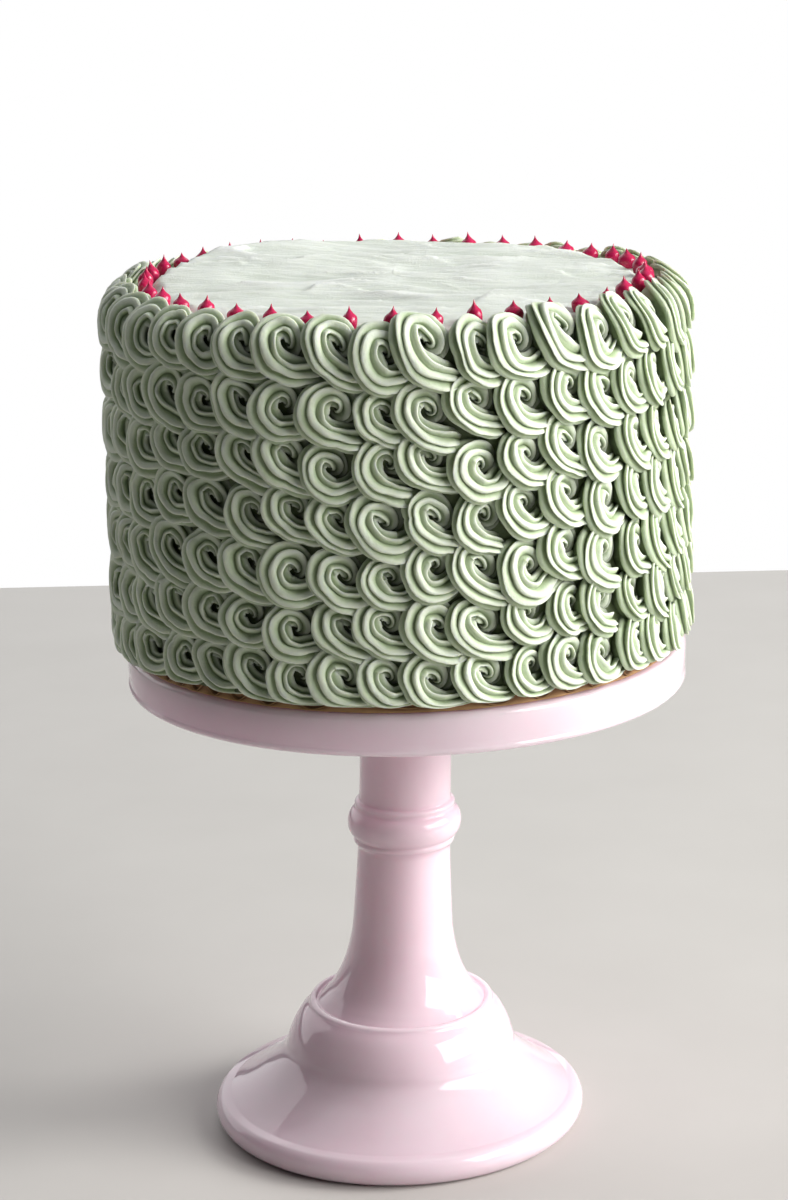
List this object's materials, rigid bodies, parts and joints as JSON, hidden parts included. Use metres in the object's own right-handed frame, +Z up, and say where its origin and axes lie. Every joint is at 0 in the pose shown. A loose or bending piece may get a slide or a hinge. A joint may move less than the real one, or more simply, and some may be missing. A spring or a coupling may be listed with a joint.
{
  "type": "gluten-free cake on stand",
  "caption": "Tall uncut iced cake with piped swirls round its side, a spread top and a ring of icing drops, on a round card on a pressed-glass pedestal stand.",
  "frame": {"origin": "on the table, under the middle of the cake", "axes": "+Z up, the side that faces the viewer towards -Y"},
  "size_m": [0.2398, 0.2404, 0.3658],
  "materials": {
    "stand_glass": "opaque pink milk glass, high gloss",
    "card": "golden-brown corrugated card",
    "icing": "pale sage-green buttercream, soft sheen",
    "drop_icing": "crimson icing, glossy"
  },
  "bodies": {
    "root": {"stand": "stand_glass", "cake_card": "card", "cake": "icing", "drop_01": "drop_icing", "drop_02": "drop_icing", "drop_03": "drop_icing", "drop_04": "drop_icing", "drop_05": "drop_icing", "drop_06": "drop_icing", "drop_07": "drop_icing", "drop_08": "drop_icing", "drop_09": "drop_icing", "drop_10": "drop_icing", "drop_11": "drop_icing", "drop_12": "drop_icing", "drop_13": "drop_icing", "drop_14": "drop_icing", "drop_15": "drop_icing", "drop_16": "drop_icing", "drop_17": "drop_icing", "drop_18": "drop_icing", "drop_19": "drop_icing", "drop_20": "drop_icing", "drop_21": "drop_icing", "drop_22": "drop_icing", "drop_23": "drop_icing", "drop_24": "drop_icing", "drop_25": "drop_icing", "drop_26": "drop_icing", "drop_27": "drop_icing", "drop_28": "drop_icing", "drop_29": "drop_icing", "drop_30": "drop_icing", "drop_31": "drop_icing", "drop_32": "drop_icing", "drop_33": "drop_icing", "drop_34": "drop_icing", "drop_35": "drop_icing", "drop_36": "drop_icing", "drop_37": "drop_icing", "drop_38": "drop_icing", "drop_39": "drop_icing", "drop_40": "drop_icing"}
  },
  "joints": []
}
